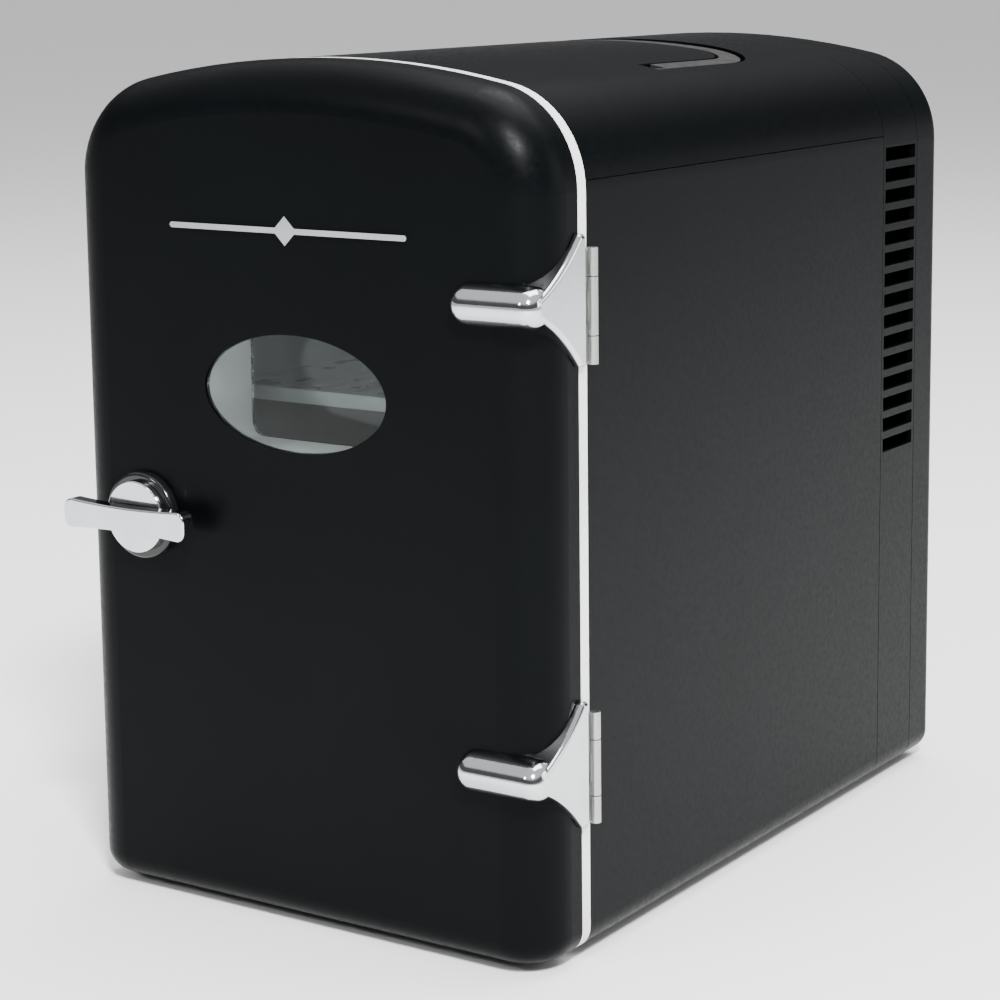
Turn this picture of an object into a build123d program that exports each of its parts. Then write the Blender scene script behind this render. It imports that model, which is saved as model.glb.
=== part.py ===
from build123d import *
import os
from math import atan2, cos, degrees, floor, radians, sqrt

# A small thermoelectric fridge with a rounded top, a hinged door with a window and a turning latch,
# a folding carry handle, and a cooling module behind the cabinet. Millimetres, +Z up, front towards -Y.
# The origin is at floor level, half way between the latch lever and the back, on the cabinet's centre line.

# ---- Cabinet ----
width = 183.0
height = 277.0
body_depth = 250.0
foot_height = 3.0
corner_r = 32.0
crown_r = 320.0
base_roll = 8.0
wall = 2.2
seam_drop = 35.0
seam_gap = 0.3
frame_depth = 4.4
housing_start = 202.5
rear_cover_start = 230.4
rear_roll = 6.0

# ---- Door and latch ----
door_depth = 22.1
door_gap = 0.3
door_roll = 16.0
door_wall = 2.2
door_liner_wall = 2.3
plug_height = 5.0
window_x = 1.0
window_drop = 103.0
window_a = 35.5
window_b = 18.6
lens_gap = 0.2
tunnel_margin = 1.6
tunnel_corner_r = 5.0
tunnel_wall = 1.4
latch_from_mouth = 6.2
latch_z = 129.5
escutcheon_r = 14.3
escutcheon_depth = 3.0
disc_r = 11.8
disc_depth = 2.2
lever_length = 51.0
lever_end = 10.2
lever_waist = 7.9
lever_depth = 4.7
neck_depth = 1.0
spindle_r = 2.0
hub_wall = 1.2
cam_width = 5.0
cam_thickness = 1.4
strike_thickness = 0.8
strike_half = 6.0
strike_tail = 7.0
strike_gap = 0.5
nut_depth = 2.0

# ---- Hinges ----
barrel_r = 1.7
pin_r = 0.7
leaf_thickness = 0.8
leaf_height = 35.0
leaf_reach = 20.0
hinge_top_drop = 72.3
hinge_bottom_z = 62.5
hinge_cover_lift = 2.1
hinge_screw_r = 1.0

# ---- Hinge covers ----
cover_proud = 2.6
cover_half = 19.8
cover_tip_r = 1.6
cover_vertex = 3.2
cover_vertex_half = 2.8
finger_length = 31.0
finger_half = 6.5
finger_proud = 7.0

# ---- Cabinet interior ----
inner_width = 135.0
inner_floor = 38.0
roof_depth = 41.0
inner_depth = 140.0
inner_r = 12.0
liner_wall = 1.5
flange = 8.0
foam_start = 2.2
shelf_z = 165.0
shelf_thickness = 2.4
shelf_lip = 4.6
shelf_front = 16.0
shelf_side_gap = 0.6
rail_depth = 4.0

# ---- Cooling module ----
module_rise = 13.0
cold_fan_size = 50.0
cold_fan_depth = 10.0
pocket_gap = 2.0
grille_r = 40.0
grille_depth = 3.0
cold_sink_depth = 14.0
peltier_size = 40.0
peltier_depth = 3.8
hot_sink_width = 100.0
hot_sink_height = 110.0
hot_sink_base = 5.0
hot_sink_fin = 22.0
fin_thickness = 1.6
hot_fan_size = 80.0
hot_fan_depth = 15.0
fan_wall = 2.0
blade_tip_gap = 1.0

# ---- Side and back openings ----
vent_start = 204.0
vent_end = 228.6
vent_drop = 39.3
vent_pitch = 7.6
vent_height = 4.9
vent_count = 15
back_grille_r = 40.0
back_grille_pitch = 6.4
back_grille_slot = 3.4

# ---- Carry handle ----
arm_width = 6.4
handle_half = 64.4
handle_gap = 0.8
lift_gap = 1.5
handle_inset = 0.15
handle_thickness = 7.0
handle_corner_r = 26.0
pivot_from_front = 94.5
bail_back = 164.0
grip_width = 8.5
finger_gap = 8.5
tray_wall = 1.5
tray_clearance = 0.6
handle_pin_r = 1.5
pin_drop = 5.2
running = 0.05

# ---- Fittings at the back ----
panel_z = 36.0
switch_x = -38.0
dc_x = 2.0
ac_x = 40.0
lamp_x = -18.0

# ---- Clearances ----
fit = 0.2
apart = 0.4

half = width / 2
base_z = foot_height
lever_front = frame_depth + door_gap + door_depth + escutcheon_depth + door_gap + disc_depth
lever_front += neck_depth + lever_depth
body_y = -(body_depth - lever_front) / 2
frame_y = body_y - frame_depth
door_y = frame_y - door_gap
front_y = door_y - door_depth
housing_y = body_y + housing_start
rear_y = body_y + rear_cover_start
back_y = body_y + body_depth
latch_x = -inner_width / 2 + latch_from_mouth
hub_r = spindle_r + hub_wall
cam_reach = latch_from_mouth - apart
strike_reach = latch_from_mouth - hub_r - apart
seam_z = height - seam_drop
window_z = height - window_drop
hinge_top_z = height - hinge_top_drop
vent_top = height - vent_drop
inner_top = height - roof_depth
mouth_z = (inner_floor + inner_top) / 2
mouth_height = inner_top - inner_floor
module_z = mouth_z + module_rise

crown_z = height - crown_r
corner_x = half - corner_r
corner_z = crown_z + sqrt((crown_r - corner_r) ** 2 - corner_x ** 2)
corner_turn = degrees(atan2(corner_z - crown_z, corner_x))

hinge_x = half + door_gap + barrel_r
hinge_y = body_y + 0.2
latch_on = (latch_x, latch_z)


def facing_front(y):
    """The upright plane at y, drawn as seen from the front; extruding by a negative amount goes back."""
    return Plane.XZ.offset(-y)


def surface_z(x):
    """Height of the cabinet's top at x, on the crown or on its rounded shoulder."""
    if abs(x) > corner_x:
        return corner_z + sqrt(corner_r ** 2 - (abs(x) - corner_x) ** 2)
    return crown_z + sqrt(crown_r ** 2 - x * x)


def arch(inset=0.0):
    """The front outline: straight sides, rounded shoulders and a gently crowned top."""
    side = half - inset
    low = base_z + inset
    shoulder = corner_r - inset
    crown = crown_r - inset
    with BuildSketch() as outline:
        with BuildLine():
            Line((-side, low), (side, low))
            Line((side, low), (side, corner_z))
            CenterArc((corner_x, corner_z), shoulder, 0, corner_turn)
            CenterArc((0, crown_z), crown, corner_turn, 180 - 2 * corner_turn)
            CenterArc((-corner_x, corner_z), shoulder, 180 - corner_turn, corner_turn)
            Line((-side, corner_z), (-side, low))
        make_face()
    return outline.sketch


def arch_block(y0, y1, inset=0.0):
    """A solid of the outline from y0 back to y1, with its two lower long edges rounded."""
    with BuildPart() as block:
        with BuildSketch(facing_front(y0)):
            add(arch(inset))
        extrude(amount=y0 - y1)
        low = block.edges().filter_by(Axis.Y).group_by(Axis.Z)[0]
        fillet(low, base_roll - inset)
    return block.part


def door_block(y0, y1, inset=0.0):
    """A solid of the outline whose front edge at y0 is rolled over, with a smaller roll all round the base."""
    with BuildPart() as block:
        with BuildSketch(facing_front(y1)):
            add(arch(inset))
        extrude(amount=y1 - y0)
        rim = block.faces().sort_by(Axis.Y)[0].edges()
        over = [edge for edge in rim if edge.center().Z > base_z + inset + 1]
        fillet(over, door_roll - inset)
        base = block.faces().sort_by(Axis.Z)[0].edges()
        under = [edge for edge in base if edge.center().Y < y1 - 1]
        fillet(under, base_roll - inset)
    return block.part


def back_block(y0, y1, inset=0.0):
    """A solid of the outline whose back edge at y1 is rolled over."""
    with BuildPart() as block:
        with BuildSketch(facing_front(y0)):
            add(arch(inset))
        extrude(amount=y0 - y1)
        low = block.edges().filter_by(Axis.Y).group_by(Axis.Z)[0]
        fillet(low, base_roll - inset)
        fillet(block.faces().sort_by(Axis.Y)[-1].edges(), rear_roll - inset)
    return block.part


def box_block(x0, x1, y0, y1, z0, z1, r=0.0):
    """A box between two corners, its edges along Y rounded by r."""
    with BuildPart() as block:
        with BuildSketch(facing_front(y0)):
            with Locations(((x0 + x1) / 2, (z0 + z1) / 2)):
                if r:
                    RectangleRounded(x1 - x0, z1 - z0, r)
                else:
                    Rectangle(x1 - x0, z1 - z0)
        extrude(amount=y0 - y1)
    return block.part


def rod(x, z, y0, y1, r):
    """A round rod along Y."""
    with BuildPart() as block:
        with BuildSketch(facing_front(y0)):
            with Locations((x, z)):
                Circle(r)
        extrude(amount=y0 - y1)
    return block.part


def save(piece, name):
    """Label a finished piece and write its STEP file."""
    piece.label = name
    export_step(piece, f"parts/{name}.step")


os.makedirs("parts", exist_ok=True)

# ================= Cabinet shells =================

inner_block = arch_block(body_y - 1, back_y - wall, wall)
mouth_half = inner_width / 2
liner_y = body_y
liner_back = body_y + inner_depth
liner_out = liner_wall + fit

hinge_heights = (hinge_top_z, hinge_bottom_z)
leaf_y = body_y + 0.1
notches = [
    box_block(hinge_x - leaf_reach - fit, half + 1, body_y - 1, leaf_y + leaf_thickness + 0.1,
              z - leaf_height / 2 - fit, z + leaf_height / 2 + fit)
    for z in hinge_heights
]

with BuildPart() as body_shell:
    add(arch_block(body_y, housing_y - seam_gap))
    add(inner_block, mode=Mode.SUBTRACT)
    split(bisect_by=Plane.XY.offset(seam_z - seam_gap), keep=Keep.BOTTOM)
    for notch in notches:
        add(notch, mode=Mode.SUBTRACT)
save(body_shell.part, "body_shell")

# ================= Handle recess and top cover =================

pivot_y = body_y + pivot_from_front
pivot_z = surface_z(handle_half - arm_width / 2) - pin_drop
arm_end_r = pin_drop - 0.4
arm_inner = handle_half - arm_width
arm_reach = surface_z(arm_inner) - pivot_z
recess_front = pivot_y - arm_reach - handle_gap
recess_half = handle_half + handle_gap
recess_back = body_y + bail_back + finger_gap
recess_floor = surface_z(recess_half) - handle_thickness - 3.2


def bail_outline(side, back, corner, front):
    """One edge of the handle's U in plan, with its two rear corners rounded."""
    with BuildSketch() as outline:
        with BuildLine():
            Line((-side, front), (side, front))
            Line((side, front), (side, back - corner))
            CenterArc((side - corner, back - corner), corner, 0, 90)
            Line((side - corner, back), (corner - side, back))
            CenterArc((corner - side, back - corner), corner, 90, 90)
            Line((-side, back - corner), (-side, front))
        make_face()
    return outline.sketch


def bail_plan(grow, lift, back_out, front):
    """The U of the carry handle, grown at the sides by grow, inside the grip by lift and behind it by back_out."""
    inner_back = body_y + bail_back - grip_width - lift
    with BuildSketch() as plan:
        add(bail_outline(handle_half + grow, body_y + bail_back + back_out, handle_corner_r + back_out,
                         front))
        add(bail_outline(arm_inner - grow, inner_back, handle_corner_r - arm_width, front),
            mode=Mode.SUBTRACT)
    return plan.sketch


with BuildPart() as recess:
    with BuildSketch(Plane.XY.offset(recess_floor)):
        add(bail_plan(handle_gap, lift_gap, finger_gap, recess_front))
    extrude(amount=height - recess_floor + 1)

with BuildPart() as tray_outer:
    with BuildSketch(Plane.XY.offset(recess_floor - tray_wall)):
        add(bail_plan(handle_gap + tray_wall, lift_gap + tray_wall, finger_gap + tray_wall,
                      recess_front - tray_wall))
    extrude(amount=height - recess_floor + 1)

under_top = arch_block(body_y, housing_y, wall + 0.05)

with BuildPart() as top_cover:
    add(arch_block(body_y, housing_y - seam_gap))
    add(inner_block, mode=Mode.SUBTRACT)
    split(bisect_by=Plane.XY.offset(seam_z), keep=Keep.TOP)
    add(recess.part, mode=Mode.SUBTRACT)
    for notch in notches:
        add(notch, mode=Mode.SUBTRACT)
save(top_cover.part, "top_cover")

pin_x = handle_half - arm_width / 2
pin_length = arm_width + 2 * handle_gap + 2 * tray_wall


def cross_rod(x0, x1, y, z, r):
    """A round rod along X."""
    with BuildPart() as block:
        with BuildSketch(Plane.YZ.offset(x0)):
            with Locations((y, z)):
                Circle(r)
        extrude(amount=x1 - x0)
    return block.part


pin_rods = [
    cross_rod(side * pin_x - pin_length / 2, side * pin_x + pin_length / 2, pivot_y, pivot_z, handle_pin_r)
    for side in (-1, 1)
]

with BuildPart() as handle_tray:
    add(tray_outer.part)
    add(recess.part, mode=Mode.SUBTRACT)
    add(under_top, mode=Mode.INTERSECT)
    for rod_part in pin_rods:
        add(rod_part, mode=Mode.SUBTRACT)
save(handle_tray.part, "handle_tray")

bail_top = arch_block(body_y, housing_y, handle_inset)
bail_under = arch_block(body_y - 1, housing_y + 1, handle_inset + handle_thickness)
with BuildPart() as carry_handle:
    with BuildSketch(Plane.XY.offset(recess_floor + tray_clearance)):
        add(bail_plan(0, 0, 0, pivot_y))
    extrude(amount=height - recess_floor)
    add(bail_under, mode=Mode.SUBTRACT)
    with BuildSketch(Plane.YZ.offset(-handle_half), Plane.YZ.offset(arm_inner)):
        with Locations((pivot_y, pivot_z)):
            Circle(arm_end_r)
    extrude(amount=arm_width)
    add(bail_top, mode=Mode.INTERSECT)
    with BuildSketch(Plane.YZ.offset(-handle_half), Plane.YZ.offset(arm_inner)):
        with Locations((pivot_y, pivot_z)):
            Circle(handle_pin_r + running)
    extrude(amount=arm_width, mode=Mode.SUBTRACT)
save(carry_handle.part, "carry_handle")

with BuildPart() as handle_pins:
    for rod_part in pin_rods:
        add(rod_part)
save(handle_pins.part, "handle_pins")

# ================= Rear housing with side vents, and rear cover =================

with BuildPart() as rear_housing:
    add(arch_block(housing_y, rear_y - seam_gap))
    add(inner_block, mode=Mode.SUBTRACT)
    vent_centre_y = body_y + (vent_start + vent_end) / 2
    vent_length = vent_end - vent_start
    with BuildSketch(Plane.YZ.offset(-half - 1)):
        for index in range(vent_count):
            with Locations((vent_centre_y, vent_top - vent_height / 2 - index * vent_pitch)):
                Rectangle(vent_length, vent_height)
    extrude(amount=width + 2, mode=Mode.SUBTRACT)
save(rear_housing.part, "rear_housing")

switch_w, switch_h = 21.0, 15.0
ac_w, ac_h = 25.0, 13.0
dc_w, dc_h = 18.0, 13.0
lamp_r = 1.8
socket_depth = 14.0
flange_lip = 2.0
flange_out = 1.2
back_inside = back_y - wall
screw_r = 1.5
screw_head_r = 2.8
screw_sites = [(side * (half - 22), z) for side in (-1, 1) for z in (base_z + 18, corner_z - 12)]
boss_r = 4.5

with BuildPart() as rear_cover:
    add(back_block(rear_y, back_y))
    add(back_block(rear_y - 1, back_inside, wall), mode=Mode.SUBTRACT)
    rows = floor(back_grille_r / back_grille_pitch)
    with BuildSketch(facing_front(back_inside - 1)):
        for row in range(-rows, rows + 1):
            drop = row * back_grille_pitch
            chord = 2 * sqrt(back_grille_r ** 2 - drop ** 2)
            if chord > 4 * back_grille_slot:
                with Locations((0, module_z + drop)):
                    SlotOverall(chord, back_grille_slot)
    extrude(amount=-(wall + 2), mode=Mode.SUBTRACT)
    with BuildSketch(facing_front(back_inside - 1)):
        with Locations((switch_x, panel_z)):
            Rectangle(switch_w + 2 * fit, switch_h + 2 * fit)
        with Locations((dc_x, panel_z)):
            Rectangle(dc_w + 2 * fit, dc_h + 2 * fit)
        with Locations((ac_x, panel_z)):
            RectangleRounded(ac_w + 2 * fit, ac_h + 2 * fit, 4)
        with Locations((lamp_x, panel_z + 4), (lamp_x, panel_z - 4)):
            Circle(lamp_r + 0.05)
    extrude(amount=-(wall + 2), mode=Mode.SUBTRACT)
    with BuildSketch(facing_front(rear_y + 4)):
        with Locations(*screw_sites):
            Circle(boss_r)
    extrude(amount=-(back_inside - rear_y - 4))
    with BuildSketch(facing_front(rear_y)):
        with Locations(*screw_sites):
            Circle(screw_r + 0.1)
    extrude(amount=-(back_y - rear_y), mode=Mode.SUBTRACT)
    with BuildSketch(facing_front(back_y)):
        with Locations(*screw_sites):
            Circle(screw_head_r + 0.3)
    extrude(amount=3.0, mode=Mode.SUBTRACT)
save(rear_cover.part, "rear_cover")

with BuildPart() as rear_cover_screws:
    with BuildSketch(facing_front(rear_y - 6)):
        with Locations(*screw_sites):
            Circle(screw_r)
    extrude(amount=-(back_y - 3.0 - rear_y + 6))
    with BuildSketch(facing_front(back_y - 3.0)):
        with Locations(*screw_sites):
            Circle(screw_head_r)
    extrude(amount=-2.0)
    with BuildSketch(facing_front(back_y - 2.0)):
        for site in screw_sites:
            with Locations(site):
                Rectangle(3.6, 0.8)
                Rectangle(0.8, 3.6)
    extrude(amount=-1.0, mode=Mode.SUBTRACT)
save(rear_cover_screws.part, "rear_cover_screws")

# Four posts behind the insulation take the rear cover's screws.
foam_back = body_y + inner_depth + liner_wall + 28.0
post_r = 4.5
with BuildPart() as cover_posts:
    with BuildSketch(facing_front(foam_back + fit)):
        with Locations(*screw_sites):
            Circle(post_r)
    extrude(amount=-(rear_y + 4 - 0.2 - foam_back - fit))
    with BuildSketch(facing_front(rear_y - 6)):
        with Locations(*screw_sites):
            Circle(screw_r)
    extrude(amount=-12, mode=Mode.SUBTRACT)
save(cover_posts.part, "cover_posts")

# ================= Front frame, liner and insulation =================

strike_y = body_y - strike_thickness
strike_x0 = -mouth_half - strike_tail
strike_x1 = -mouth_half + strike_reach
strike_seat = box_block(strike_x0 - fit, -mouth_half + 1, strike_y, body_y + 1,
                        latch_z - strike_half - fit, latch_z + strike_half + fit)

with BuildPart() as front_frame:
    add(arch_block(frame_y, body_y))
    add(box_block(-mouth_half, mouth_half, frame_y - 1, body_y + 1, inner_floor, inner_top, inner_r),
        mode=Mode.SUBTRACT)
    add(strike_seat, mode=Mode.SUBTRACT)
save(front_frame.part, "front_frame")

with BuildPart() as latch_strike:
    with BuildSketch(facing_front(strike_y)):
        with Locations(((strike_x0 + strike_x1) / 2, latch_z)):
            Rectangle(strike_x1 - strike_x0, 2 * strike_half)
    extrude(amount=-strike_thickness)
save(latch_strike.part, "latch_strike")

liner_inner = box_block(-mouth_half, mouth_half, body_y - 1, liner_back, inner_floor, inner_top, inner_r)
pocket_half = cold_fan_size / 2 + pocket_gap
fan_opening = pocket_half - 1.5
rail_z = shelf_z - shelf_thickness / 2
rail_height = 1.6

with BuildPart() as inner_liner:
    add(box_block(-mouth_half - liner_wall, mouth_half + liner_wall, liner_y, liner_back + liner_wall,
                  inner_floor - liner_wall, inner_top + liner_wall, inner_r + liner_wall))
    add(box_block(-mouth_half - flange, mouth_half + flange, liner_y, liner_y + liner_wall,
                  inner_floor - flange, inner_top + flange, inner_r + flange))
    add(liner_inner, mode=Mode.SUBTRACT)
    add(box_block(-fan_opening, fan_opening, liner_back - 1, liner_back + liner_wall + 1,
                  module_z - fan_opening, module_z + fan_opening, 3), mode=Mode.SUBTRACT)
    for side in (-1, 1):
        x0 = side * mouth_half
        x1 = side * (mouth_half - rail_depth)
        add(box_block(min(x0, x1), max(x0, x1), body_y + shelf_front, liner_back - 6,
                      shelf_z - shelf_thickness - rail_height - fit, shelf_z - shelf_thickness - fit))
    for notch in notches:
        add(notch, mode=Mode.SUBTRACT)
save(inner_liner.part, "inner_liner")

with BuildPart() as shelf:
    shelf_half = mouth_half - shelf_side_gap
    shelf_back = liner_back - grille_depth - 3.0
    add(box_block(-shelf_half, shelf_half, body_y + shelf_front, shelf_back,
                  shelf_z - shelf_thickness, shelf_z))
    lip_half = shelf_half - rail_depth - 1.0
    add(box_block(-lip_half, lip_half, body_y + shelf_front, body_y + shelf_front + 2.0,
                  shelf_z - shelf_thickness, shelf_z + shelf_lip - shelf_thickness))
    with BuildSketch(Plane.XY.offset(shelf_z - shelf_thickness - 1)):
        with Locations((0, body_y + (shelf_front + inner_depth) / 2)):
            with GridLocations(9.0, 0, 11, 1):
                SlotOverall(inner_depth - shelf_front - 34, 4.6, rotation=90)
    extrude(amount=shelf_thickness + 2, mode=Mode.SUBTRACT)
save(shelf.part, "shelf")

foam_y0 = body_y + foam_start
foam_outer = arch_block(foam_y0, foam_back, wall + fit)
peltier_half = peltier_size / 2
with BuildPart() as insulation:
    add(foam_outer)
    add(box_block(-mouth_half - liner_out, mouth_half + liner_out, body_y - 1, liner_back + liner_out,
                  inner_floor - liner_out, inner_top + liner_out, inner_r + liner_out), mode=Mode.SUBTRACT)
    add(box_block(-pocket_half, pocket_half, liner_back, foam_back - peltier_depth,
                  module_z - pocket_half, module_z + pocket_half), mode=Mode.SUBTRACT)
    add(box_block(-peltier_half - fit, peltier_half + fit, liner_back, foam_back + 1,
                  module_z - peltier_half - fit, module_z + peltier_half + fit), mode=Mode.SUBTRACT)
    with BuildSketch(Plane.XY.offset(recess_floor - tray_wall - fit)):
        with Locations((0, (recess_front + recess_back) / 2)):
            Rectangle(2 * recess_half + 2 * tray_wall + 1, recess_back - recess_front + 2 * tray_wall + 1)
    extrude(amount=height, mode=Mode.SUBTRACT)
save(insulation.part, "insulation")

# ================= Cooling module =================


def fan_frame_part(x, z, y0, size, depth, hub, hole_inset, shaft):
    """A square fan frame with a round duct, a rear hub plate on four struts, and four corner holes."""
    bore = size / 2 - fan_wall
    with BuildPart() as frame_part:
        with BuildSketch(facing_front(y0)):
            with Locations((x, z)):
                RectangleRounded(size, size, 4)
                Circle(bore, mode=Mode.SUBTRACT)
                with GridLocations(size - 2 * hole_inset, size - 2 * hole_inset, 2, 2):
                    Circle(1.6, mode=Mode.SUBTRACT)
        extrude(amount=-depth)
        with BuildSketch(facing_front(y0 + depth - 2)):
            with Locations((x, z)):
                Circle(hub)
                Rectangle(2 * bore + 1, 3)
                Rectangle(3, 2 * bore + 1)
                Circle(shaft + running, mode=Mode.SUBTRACT)
        extrude(amount=-2)
    return frame_part.part


def fan_rotor_part(x, z, y0, tip, depth, hub, blades, shaft):
    """A hub cup with pitched blades and a shaft that reaches back through the frame's hub plate."""
    with BuildPart() as rotor:
        with BuildSketch(facing_front(y0)):
            with Locations((x, z)):
                Circle(hub)
        extrude(amount=-depth)
        with BuildSketch(facing_front(y0 + 1.5)):
            with Locations((x, z)):
                Circle(hub - 1.2)
                Circle(shaft + 1, mode=Mode.SUBTRACT)
        extrude(amount=-depth, mode=Mode.SUBTRACT)
        with BuildSketch(facing_front(y0 + depth - 1)):
            with Locations((x, z)):
                Circle(shaft)
        extrude(amount=-4)
    solid = rotor.part
    reach = tip - hub + 0.8
    lean = 32
    blade_depth = (depth - 1.6) / cos(radians(lean)) - 2.4
    for index in range(blades):
        turn = index * 360 / blades
        blade = Pos(hub - 0.8 + reach / 2, 0, 0) * Rot(lean, 0, 0) * Box(reach, 1.0, blade_depth)
        # The blade is made about the hub's axis along Z, then turned so that the axis lies along Y.
        placed = Pos(x, y0 + depth / 2, z) * Rot(90, 0, 0) * Rot(0, 0, turn) * blade
        solid = solid + placed
    return solid


cold_fan_y = liner_back + liner_wall - 0.5
cold_hub = 10.0
shaft_r = 1.2
cold_tip = cold_fan_size / 2 - fan_wall - blade_tip_gap
hot_tip = hot_fan_size / 2 - fan_wall - blade_tip_gap
cold_sink_y = foam_back - peltier_depth - cold_sink_depth

with BuildPart() as cold_fan_grille:
    with BuildSketch(facing_front(liner_back - grille_depth)):
        with Locations((0, module_z)):
            Circle(grille_r)
            for ring in range(1, 5):
                outer = 6.0 + ring * 5.6
                with BuildSketch(mode=Mode.PRIVATE) as ring_slot:
                    Circle(outer)
                    Circle(outer - 3.2, mode=Mode.SUBTRACT)
                    Rectangle(2 * outer + 2, 3.0, mode=Mode.SUBTRACT)
                    Rectangle(3.0, 2 * outer + 2, mode=Mode.SUBTRACT)
                add(ring_slot.sketch, mode=Mode.SUBTRACT)
    extrude(amount=-grille_depth)
    fillet(cold_fan_grille.faces().sort_by(Axis.Y)[0].outer_wire().edges(), 1.6)
save(cold_fan_grille.part, "cold_fan_grille")

cold_frame = fan_frame_part(0, module_z, cold_fan_y, cold_fan_size, cold_fan_depth, 11.0, 4.0, shaft_r)
save(cold_frame, "cold_fan_frame")
cold_rotor = fan_rotor_part(0, module_z, cold_fan_y + 0.8, cold_tip, cold_fan_depth - 3.4, cold_hub, 7, shaft_r)
save(cold_rotor, "cold_fan_rotor")

cold_sink_half = cold_fan_size / 2
with BuildPart() as cold_sink:
    add(box_block(-cold_sink_half, cold_sink_half, foam_back - peltier_depth - 4, foam_back - peltier_depth,
                  module_z - cold_sink_half, module_z + cold_sink_half))
    fin_count = 11
    fin_span = 2 * cold_sink_half - fin_thickness
    fin_front = cold_fan_y + cold_fan_depth + 2.0
    for index in range(fin_count):
        x = -fin_span / 2 + index * fin_span / (fin_count - 1)
        add(box_block(x - fin_thickness / 2, x + fin_thickness / 2, fin_front, foam_back - peltier_depth - 4,
                      module_z - cold_sink_half, module_z + cold_sink_half))
save(cold_sink.part, "cold_sink")

with BuildPart() as peltier_module:
    add(box_block(-peltier_half, peltier_half, foam_back - peltier_depth, foam_back,
                  module_z - peltier_half, module_z + peltier_half))
save(peltier_module.part, "peltier_module")

hot_y = foam_back
with BuildPart() as hot_sink:
    add(box_block(-hot_sink_width / 2, hot_sink_width / 2, hot_y, hot_y + hot_sink_base,
                  module_z - hot_sink_height / 2, module_z + hot_sink_height / 2))
    hot_fins = 15
    hot_span = hot_sink_width - fin_thickness
    for index in range(hot_fins):
        x = -hot_span / 2 + index * hot_span / (hot_fins - 1)
        add(box_block(x - fin_thickness / 2, x + fin_thickness / 2, hot_y + hot_sink_base,
                      hot_y + hot_sink_base + hot_sink_fin,
                      module_z - hot_sink_height / 2, module_z + hot_sink_height / 2))
save(hot_sink.part, "hot_sink")

hot_fan_y = hot_y + hot_sink_base + hot_sink_fin + 0.5
hot_frame = fan_frame_part(0, module_z, hot_fan_y, hot_fan_size, hot_fan_depth, 17.0, 4.5, shaft_r)
save(hot_frame, "hot_fan_frame")
hot_rotor = fan_rotor_part(0, module_z, hot_fan_y + 1.0, hot_tip, hot_fan_depth - 4.0, 16.0, 9, shaft_r)
save(hot_rotor, "hot_fan_rotor")

fan_hole = hot_fan_size - 9.0
with BuildPart() as fan_screws:
    with BuildSketch(facing_front(hot_fan_y)):
        with Locations((0, module_z)):
            with GridLocations(fan_hole, fan_hole, 2, 2):
                Circle(1.5)
    extrude(amount=-hot_fan_depth)
    with BuildSketch(facing_front(hot_fan_y + hot_fan_depth)):
        with Locations((0, module_z)):
            with GridLocations(fan_hole, fan_hole, 2, 2):
                Circle(2.8)
    extrude(amount=-1.8)
save(fan_screws.part, "fan_screws")

# ================= Electrics =================

board_y = foam_back + 10.0
board_z = base_z + wall + 6.0
board_half = 55.0
board_depth = 40.0
board_thickness = 1.6
with BuildPart() as power_board:
    with BuildSketch(Plane.XY.offset(board_z)):
        with Locations((0, board_y + board_depth / 2)):
            Rectangle(2 * board_half, board_depth)
    extrude(amount=board_thickness)
save(power_board.part, "power_board")

board_top = board_z + board_thickness
with BuildPart() as board_parts:
    with BuildSketch(Plane.XY.offset(board_top)):
        with Locations((-18, board_y + 18)):
            Rectangle(28, 24)
        with Locations((-46, board_y + 20)):
            Rectangle(8, 30)
        with Locations((47, board_y + 20)):
            Rectangle(8, 30)
    extrude(amount=20)
    with BuildSketch(Plane.XY.offset(board_top)):
        with Locations((14, board_y + 14), (28, board_y + 14), (14, board_y + 30)):
            Circle(5)
    extrude(amount=18)
save(board_parts.part, "board_parts")

with BuildPart() as board_posts:
    with BuildSketch(Plane.XY.offset(base_z + wall)):
        with Locations((0, board_y + board_depth / 2)):
            with GridLocations(2 * board_half - 10, board_depth - 10, 2, 2):
                Circle(3)
    extrude(amount=board_z - base_z - wall)
save(board_posts.part, "board_posts")

rocker_half = 7.5
rocker_tall = 5.0
rocker_r = 9.0
rocker_y = back_y - 4.0
with BuildPart() as switch_housing:
    add(box_block(switch_x - switch_w / 2, switch_x + switch_w / 2, back_y - socket_depth, back_y,
                  panel_z - switch_h / 2, panel_z + switch_h / 2))
    add(box_block(switch_x - switch_w / 2 - flange_lip, switch_x + switch_w / 2 + flange_lip,
                  back_y, back_y + flange_out,
                  panel_z - switch_h / 2 - flange_lip, panel_z + switch_h / 2 + flange_lip, 1.5))
    add(box_block(switch_x - rocker_half - 1.6, switch_x + rocker_half + 1.6, back_y - socket_depth + 2,
                  back_y + flange_out + 1, panel_z - rocker_tall - 0.5, panel_z + rocker_tall + 0.5),
        mode=Mode.SUBTRACT)
    with BuildSketch(Plane.XY.offset(panel_z - rocker_tall - 1.5)):
        with Locations((switch_x, rocker_y)):
            Circle(1.0)
    extrude(amount=2 * rocker_tall + 3, mode=Mode.SUBTRACT)
save(switch_housing.part, "switch_housing")

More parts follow.
